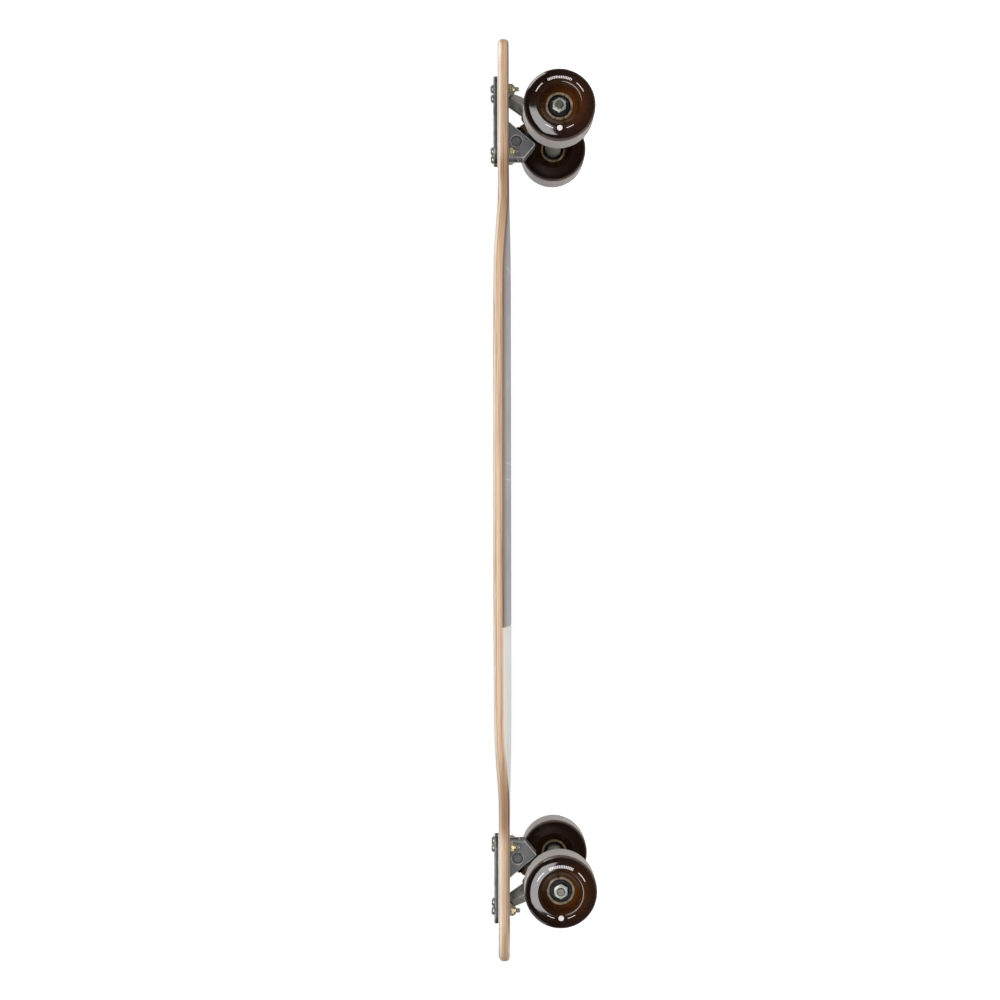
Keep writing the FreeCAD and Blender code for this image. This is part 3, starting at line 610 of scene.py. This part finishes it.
# wheel urethane, its pattern lies on a UV map in metres from the wheel's own axle
wheelLook = {
    "glow": [
        (0.0, (116, 64, 12)), (0.26, (90, 47, 9)), (0.42, (62, 30, 6)), (0.58, (41, 20, 6)),
        (0.78, (29, 13, 5)), (1.0, (23, 10, 5))],
    "reach": 0.035, "cloud": 70.0, "cloudDepth": 0.06,
    "shoulder": {"span": (0.0328, 0.0349, 0.0, 0.7), "tint": (112, 99, 92)},
    "glowWeight": 0.2, "glowRadius": (0.9, 0.35, 0.1), "glowScale": 0.008,
    "skin": 420.0, "skinSpan": (0.3, 0.7), "bump": 0.03, "relief": 0.0005,
}
urethaneSides = {
    "wheel_urethane_printed": {
        "rough": (0.07, 0.16), "coat": 0.25, "shine": 0.5,
        "print": (206, 200, 202), "printRough": 0.25, "worn": 1400.0, "wornSpan": (0.3, 0.42, 0.6, 1.0),
        "clear": (0.02, -0.03, -0.1, 0.22), "dish": (0.0195, 0.0208, 0.08, 0.0)},
    "wheel_urethane": {"rough": (0.3, 0.42), "coat": 0.0, "shine": 0.08, "dim": 0.12},
}
wheelMarks = {
    "ticks": {"half": 1.9, "drawn": 1.2, "radius": 0.0252, "height": 0.0013, "spread": 27.0},
    "arcs": [(52.0, 12.0, 0.0254, 0.0004), (156.0, 9.0, 0.0246, 0.0003)],
    "dot": {"out": 0.0238, "radius": 0.0026},
}


def wheelPrint(tree, look, out, face):
    # plain ticks and thin arcs round the face, and one dot
    turn = maths(tree, "MULTIPLY", maths(tree, "ARCTAN2", face["Y"], face["X"]), 180 / math.pi)
    ticks, dot = look["ticks"], look["dot"]

    def arc(middle, spread, radius, height):
        ring = maths(tree, "COMPARE", out, radius, height)
        return maths(tree, "MULTIPLY", ring, maths(tree, "COMPARE", turn, middle, spread))

    marks = maths(tree, "LESS_THAN", maths(tree, "PINGPONG", turn, ticks["half"]), ticks["drawn"])
    marks = maths(tree, "MULTIPLY", marks, arc(0.0, ticks["spread"], ticks["radius"], ticks["height"]))
    for middle, spread, radius, height in look["arcs"]:
        for way in (1.0, -1.0):
            marks = maths(tree, "MAXIMUM", marks, arc(way * middle, spread, radius, height))
    away = reachOf(tree, maths(tree, "ADD", face["X"], dot["out"]), face["Y"])
    return maths(tree, "MAXIMUM", marks, maths(tree, "LESS_THAN", away, dot["radius"]))


def makeUrethane(name, look, side):
    material, tree, shader = startMaterial(name)
    place = objectPlace(tree)
    face = split(tree, addNode(tree, "ShaderNodeUVMap", uv_map="wheelFace").outputs[0])
    out = reachOf(tree, face["X"], face["Y"])
    share = maths(tree, "DIVIDE", out, look["reach"])
    if "print" in side:  # painted light: the face turns amber on its lower side, as if light from the floor shone through the urethane
        share = maths(tree, "SUBTRACT", share, between(tree, face["Y"], *side["clear"], "SMOOTHSTEP"))
    else:
        share = maths(tree, "ADD", share, side["dim"])
    cloud, depth = noise(tree, place, look["cloud"]), look["cloudDepth"]
    level = maths(tree, "MULTIPLY_ADD", cloud, depth, maths(tree, "SUBTRACT", share, depth / 2))
    # painted glow: amber near the hub, darker towards the rim
    body = tintRamp(tree, level, look["glow"])
    shoulder = look["shoulder"]  # painted reflection: paler towards the tread, where the rounded shoulder catches the white studio
    body = tinted(tree, between(tree, out, *shoulder["span"]), body, shoulder["tint"])
    rough = between(tree, noise(tree, place, look["skin"], 3.0), *look["skinSpan"], *side["rough"])
    if "print" in side:
        rough = maths(tree, "ADD", rough, between(tree, out, *side["dish"]))  # the dish keeps its moulded skin
        worn = between(tree, noise(tree, place, side["worn"], 3.0, 0.6), *side["wornSpan"])
        marks = maths(tree, "MULTIPLY", wheelPrint(tree, wheelMarks, out, face), worn)
        body = tinted(tree, marks, body, side["print"])
        rough = maths(tree, "MULTIPLY_ADD", marks, side["printRough"], rough)
    setInputs(tree, shader, {
        "Base Color": body,
        "Roughness": rough,
        "Subsurface Weight": look["glowWeight"],
        "Subsurface Radius": look["glowRadius"],
        "Subsurface Scale": look["glowScale"],
        "Coat Weight": side["coat"],
        "Specular IOR Level": side["shine"],
        "Normal": bumped(tree, cloud, look["bump"], look["relief"])})
    return material


# tread: ground running surface with fine scratches round the wheel
treadLook = {
    "scratches": (60.0, 2600.0, 60.0), "scratchShare": 0.35, "cloud": 90.0, "cloudShare": 0.65,
    "tones": [(0.32, (123, 114, 109)), (0.66, (151, 142, 136))], "rough": (0.3, 0.7, 0.45, 0.62),
    "sheen": 0.3, "sheenRough": 0.35, "bump": 0.12, "relief": 0.0004,
}


def makeTread(look):
    material, tree, shader = startMaterial("wheel_tread")
    place = objectPlace(tree)
    scratches = fibres(tree, place, look["scratches"], 3.0, 0.6)
    cloud = noise(tree, place, look["cloud"], 6.0, 0.65)
    clouded = maths(tree, "MULTIPLY", cloud, look["cloudShare"])
    tone = maths(tree, "MULTIPLY_ADD", scratches, look["scratchShare"], clouded)
    setInputs(tree, shader, {
        "Base Color": tintRamp(tree, tone, look["tones"]),
        "Roughness": between(tree, cloud, *look["rough"]),
        "Sheen Weight": look["sheen"],
        "Sheen Roughness": look["sheenRough"],
        "Normal": bumped(tree, tone, look["bump"], look["relief"])})
    return material


for name, side in urethaneSides.items():
    finishes[name] = makeUrethane(name, wheelLook, side)
finishes["wheel_tread"] = makeTread(treadLook)
print("wheel finishes ready")


# mesh helpers
def addPiece(name, bm, materials):
    mesh = bpy.data.meshes.new(name)
    bm.to_mesh(mesh)
    bm.free()
    for material in materials:
        mesh.materials.append(finishes[material])
    mesh.shade_smooth()
    piece = bpy.data.objects.new(name, mesh)
    scene.collection.objects.link(piece)
    return piece


def turnProfile(bm, profile, start, direction, steps, closed=False):
    # profile holds (distance along the axis, radius) in millimetres
    direction = Vector(direction).normalized()
    aside = direction.orthogonal().normalized()
    start = Vector(start)
    points = [bm.verts.new(start + direction * (d * mm) + aside * (r * mm)) for d, r in profile]
    edges = [bm.edges.new(pair) for pair in zip(points, points[1:])]
    if closed:
        edges.append(bm.edges.new((points[-1], points[0])))
    bmesh.ops.spin(
        bm, geom=points + edges, cent=start, axis=direction, angle=2 * math.pi, steps=steps, use_merge=True)
    bmesh.ops.remove_doubles(bm, verts=bm.verts[:], dist=1e-7)
    bmesh.ops.recalc_face_normals(bm, faces=bm.faces[:])


def joinInto(bm, other):
    # adds one finished shape to another through a passing mesh
    mesh = bpy.data.meshes.new("passing")
    other.to_mesh(mesh)
    other.free()
    bm.from_mesh(mesh)
    bpy.data.meshes.remove(mesh)


def finishEdges(piece, angle, levels=0):
    if levels:
        smooth = piece.modifiers.new("roundness", "SUBSURF")
        smooth.levels = levels
        smooth.render_levels = levels
    piece.data.set_sharp_from_angle(angle=math.radians(angle))


# wheels: centres in metres, profiles in millimetres
axleX, axleZ, wheelY = 0.378, 0.035, 0.103
wheelCentres = {
    "front_left": (axleX, wheelY, axleZ), "front_right": (axleX, -wheelY, axleZ),
    "rear_left": (-axleX, wheelY, axleZ), "rear_right": (-axleX, -wheelY, axleZ),
}
wheelShape = {
    "steps": 64, "levels": 1, "sharp": 80.0, "tread": 34.9, "boreRadius": 14.0, "boreHalf": 12.0,
    "side": [  # radius, distance out from the middle
        (13.52, 12.9), (14.3, 13.2), (15.6, 14.8), (17.2, 17.6), (18.8, 21.4), (19.9, 23.9), (20.5, 24.85),
        (21.2, 25.35), (22.2, 25.4), (24.0, 25.1), (26.0, 24.75), (28.0, 24.35), (29.5, 23.95), (31.0, 23.1),
        (32.4, 22.1), (33.5, 21.0), (34.3, 19.8), (34.8, 18.6), (35.0, 17.4), (35.0, 9.0)],
}


def makeWheel(corner, centre, shape):
    outward = math.copysign(1.0, centre[1])
    bm = bmesh.new()
    half = shape["side"]
    profile = [(out, radius) for radius, out in half] + [(0.0, half[-1][0])]
    profile += [(-out, radius) for radius, out in reversed(half)]
    turnProfile(bm, profile, centre, (0.0, outward, 0.0), shape["steps"], closed=True)
    layer = bm.loops.layers.uv.new("wheelFace")
    for face in bm.faces:
        reach = min(math.hypot(v.co.x - centre[0], v.co.z - centre[2]) for v in face.verts)
        out = (face.calc_center_median().y - centre[1]) * outward
        bore = abs(out) < shape["boreHalf"] * mm and reach < shape["boreRadius"] * mm
        if reach > shape["tread"] * mm:
            face.material_index = 2
        elif out > 0 and not bore:
            face.material_index = 1
        for loop in face.loops:
            loop[layer].uv = (loop.vert.co.x - centre[0], loop.vert.co.z - centre[2])
    materials = ("wheel_urethane", "wheel_urethane_printed", "wheel_tread")
    piece = addPiece(corner + "_tyre", bm, materials)
    finishEdges(piece, shape["sharp"], shape["levels"])
    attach(piece, corner + "_roller")
    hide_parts(corner + "_wheel")


for corner, centre in wheelCentres.items():
    makeWheel(corner, centre, wheelShape)
print("wheels turned")


# cores, turned with chamfered ends
coreShape = {
    "steps": 64, "sharp": 35.0,
    "ring": [
        (-13.0, 11.25), (-12.6, 11.02), (-5.0, 11.02), (-5.0, 9.5), (5.0, 9.5), (5.0, 11.02), (12.6, 11.02),
        (13.0, 11.25), (13.0, 13.0), (12.7, 13.4), (12.2, 13.5), (-12.2, 13.5), (-12.7, 13.4), (-13.0, 13.0)],
}


def makeCore(corner, centre, shape):
    bm = bmesh.new()
    turnProfile(bm, shape["ring"], centre, (0.0, 1.0, 0.0), shape["steps"], closed=True)
    core = addPiece(corner + "_hub", bm, ["core_plastic"])
    finishEdges(core, shape["sharp"])
    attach(core, corner + "_roller")
    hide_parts(corner + "_wheel_core")


# rubber shields with a pressed step, on both faces of each bearing
shieldShape = {
    "steps": 48, "sharp": 35.0,
    "places": ((5.55, -1.0), (11.85, 1.0)),  # distance from the wheel's middle, and which way the step faces
    "ring": [
        (-0.2, 6.12), (0.2, 6.12), (0.2, 6.55), (-0.02, 6.8), (-0.02, 8.1), (0.2, 8.4), (0.2, 8.98),
        (-0.2, 8.98)],
}


def makeShields(corner, centre, shape):
    bm = bmesh.new()
    for place, facing in shape["places"]:
        for way in (1.0, -1.0):
            start = Vector(centre) + Vector((0.0, way * place * mm, 0.0))
            ring = bmesh.new()
            turnProfile(ring, shape["ring"], start, (0.0, way * facing, 0.0), shape["steps"], closed=True)
            joinInto(bm, ring)
    shields = addPiece(corner + "_seals", bm, ["shield_rubber"])
    finishEdges(shields, shape["sharp"])
    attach(shields, corner + "_roller")
    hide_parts(corner + "_bearing_shields")


for corner, centre in wheelCentres.items():
    makeCore(corner, centre, coreShape)
    makeShields(corner, centre, shieldShape)
print("hubs turned")


# trucks: the kingpin runs down from the bushing seat, and the rear is the front turned half round
truckLines = {"seat": (0.3716007, 0.0, 0.0659556), "kingpin": (0.766044, 0.0, -0.642788)}
truckSigns = {"front": 1.0, "rear": -1.0}


def kingpinWay(sign):
    x, y, z = truckLines["kingpin"]
    return Vector((sign * x, sign * y, z))


def kingpinPoint(sign, depth):
    x, y, z = truckLines["seat"]
    return Vector((sign * x, sign * y, z)) + kingpinWay(sign) * (depth * mm)


# bushings, squeezed between the board and the hanger
bushingShapes = {
    "boardside": {
        "steps": 64, "sharp": 50.0, "start": 1.6, "held": 4.5, "pressed": 15.5,
        "ring": [
            (0.0, 4.95), (0.0, 11.2), (0.3, 11.75), (0.9, 12.0), (4.6, 12.0), (5.4, 11.75), (9.4, 10.3),
            (12.6, 9.15), (13.4, 8.75), (13.9, 8.0), (13.9, 4.95)]},
    "roadside": {
        "steps": 64, "sharp": 50.0, "start": 24.5, "held": 36.5, "pressed": 24.5,
        "ring": [
            (0.0, 4.95), (0.0, 11.2), (0.3, 11.75), (0.9, 12.0), (4.6, 12.0), (5.4, 11.7), (9.0, 10.25),
            (11.7, 9.2), (12.5, 8.75), (13.0, 8.0), (13.0, 4.95)]},
}


def makeBushing(end, sign, name, shape):
    bm = bmesh.new()
    start = kingpinPoint(sign, shape["start"])
    turnProfile(bm, shape["ring"], start, kingpinWay(sign), shape["steps"], closed=True)
    piece = addPiece(end + "_" + name + "_cone", bm, ["bushing_urethane"])
    finishEdges(piece, shape["sharp"])
    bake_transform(piece)
    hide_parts(end + "_" + name + "_bushing")


for end, sign in truckSigns.items():
    for name, shape in bushingShapes.items():
        makeBushing(end, sign, name, shape)
print("bushings turned")


# axles and mounting bolts with real thread grooves
def threadLine(start, shape):
    # a zigzag of crests and roots, one pair for each turn
    line = []
    for turn in range(shape["turns"]):
        line.append((start - turn * shape["pitch"], shape["radius"]))
        line.append((start - (turn + 0.5) * shape["pitch"], shape["root"]))
    return line


axleShape = {
    "steps": 32, "sharp": 30.0, "half": 123.5, "radius": 3.97, "root": 3.6, "pitch": 1.06, "turns": 15,
    "chamfer": 0.4, "lead": 0.3,
}


def makeAxle(end, sign, shape):
    half, root, chamfer = shape["half"], shape["root"], shape["chamfer"]
    outer = [(half, 0.0), (half, root - chamfer), (half - chamfer, root)]
    outer += threadLine(half - chamfer - shape["lead"], shape)
    profile = outer + [(-place, radius) for place, radius in reversed(outer)]
    bm = bmesh.new()
    turnProfile(bm, profile, (sign * axleX, 0.0, axleZ), (0.0, 1.0, 0.0), shape["steps"])
    piece = addPiece(end + "_axle_rod", bm, ["axle_steel"])
    finishEdges(piece, shape["sharp"])
    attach(piece, end + "_truck")
    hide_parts(end + "_axle")


boltShape = {
    "steps": 24, "sharp": 30.0, "top": 0.099, "radius": 2.38, "root": 2.0, "pitch": 0.8, "turns": 14,
    "threadTop": -13.5, "tip": -25.9, "tipLength": 0.5, "tipChamfer": 0.4,
    "head": [
        (2.9, 2.1), (2.82, 2.7), (2.5, 3.35), (2.0, 3.85), (1.3, 4.15), (0.5, 4.2), (0.12, 4.1), (0.0, 3.8)],
    "socket": 1.73, "socketRim": 2.85, "socketDepth": 1.7,
    "places": [(0.35355, 0.02065), (0.35355, -0.02065), (0.41705, 0.02065), (0.41705, -0.02065)],
}


def makeBolt(x, y, shape):
    bm = bmesh.new()
    start = Vector((x, y, shape["top"]))
    tip, root = shape["tip"], shape["root"]
    profile = shape["head"] + [(0.0, shape["radius"])] + threadLine(shape["threadTop"], shape)
    profile += [(tip + shape["tipLength"], root), (tip, root - shape["tipChamfer"]), (tip, 0.0)]
    turnProfile(bm, profile, start, (0.0, 0.0, 1.0), shape["steps"])
    # a six-sided socket closes the top of the head
    rim = [edge for edge in bm.edges if edge.is_boundary]
    level = Matrix.Translation(start + Vector((0.0, 0.0, shape["socketRim"] * mm)))
    key = bmesh.ops.create_circle(bm, segments=6, radius=shape["socket"] * mm, matrix=level)
    keyEdges = list({edge for vert in key["verts"] for edge in vert.link_edges})
    bmesh.ops.bridge_loops(bm, edges=rim + keyEdges)
    down = bmesh.ops.extrude_edge_only(bm, edges=keyEdges)["geom"]
    sunk = [item for item in down if isinstance(item, bmesh.types.BMVert)]
    bmesh.ops.translate(bm, verts=sunk, vec=(0.0, 0.0, -shape["socketDepth"] * mm))
    bmesh.ops.contextual_create(bm, geom=[edge for edge in bm.edges if edge.is_boundary])
    bmesh.ops.recalc_face_normals(bm, faces=bm.faces[:])
    return bm


def makeBolts(end, sign, shape):
    bm = bmesh.new()
    for x, y in shape["places"]:
        joinInto(bm, makeBolt(sign * x, sign * y, shape))
    piece = addPiece(end + "_deck_bolts", bm, ["bolt_steel"])
    finishEdges(piece, shape["sharp"])
    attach(piece, "board")
    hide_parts(end + "_mounting_bolts")


for end, sign in truckSigns.items():
    makeAxle(end, sign, axleShape)
    makeBolts(end, sign, boltShape)
print("axles and bolts threaded")


# castings: the solid's edges are melted soft, as sand-cast metal has them
castings = {
    "hanger": {"name": "casting", "voxel": 0.00062, "passes": 3, "slot": "hanger_metal", "body": "{}_truck",
               "lip": {"inner": 12.0, "outer": 16.5, "from": 21.0, "to": 52.0, "passes": 16}},
    "baseplate": {"name": "plate", "voxel": 0.0007, "passes": 2, "slot": "baseplate_metal", "body": "board"},
}


def roundLip(mesh, sign, look):
    # smooths only the thin rim beside the kingpin
    start, way = kingpinPoint(sign, 0.0), kingpinWay(sign)
    bm = bmesh.new()
    bm.from_mesh(mesh)
    rim = []
    for vert in bm.verts:
        depth = (vert.co - start).dot(way)
        reach = (vert.co - start - way * depth).length
        if look["from"] < depth / mm < look["to"] and look["inner"] < reach / mm < look["outer"]:
            rim.append(vert)
    for turn in range(look["passes"]):
        bmesh.ops.smooth_vert(bm, verts=rim, factor=0.5, use_axis_x=True, use_axis_y=True, use_axis_z=True)
    bm.to_mesh(mesh)
    bm.free()


def makeCasting(end, node, look):
    bm = bmesh.new()
    bm.from_mesh(cadNodes[end + "_" + node].data)
    bmesh.ops.remove_doubles(bm, verts=bm.verts[:], dist=1e-6)
    piece = addPiece(end + "_" + look["name"], bm, [look["slot"]])
    melt = piece.modifiers.new("melt", "REMESH")
    melt.mode = "VOXEL"
    melt.voxel_size = look["voxel"]
    soften = piece.modifiers.new("soften", "SMOOTH")
    soften.iterations = look["passes"]
    sharp = piece.data
    piece.data = bpy.data.meshes.new_from_object(piece.evaluated_get(bpy.context.evaluated_depsgraph_get()))
    piece.modifiers.clear()
    bpy.data.meshes.remove(sharp)
    piece.data.name = piece.name
    if "lip" in look:
        roundLip(piece.data, truckSigns[end], look["lip"])
    piece.data.shade_smooth()
    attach(piece, look["body"].format(end))
    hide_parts(end + "_" + node)
    print(piece.name, len(piece.data.polygons), "faces")


for end in truckSigns:
    for node, look in castings.items():
        makeCasting(end, node, look)
print("castings softened")
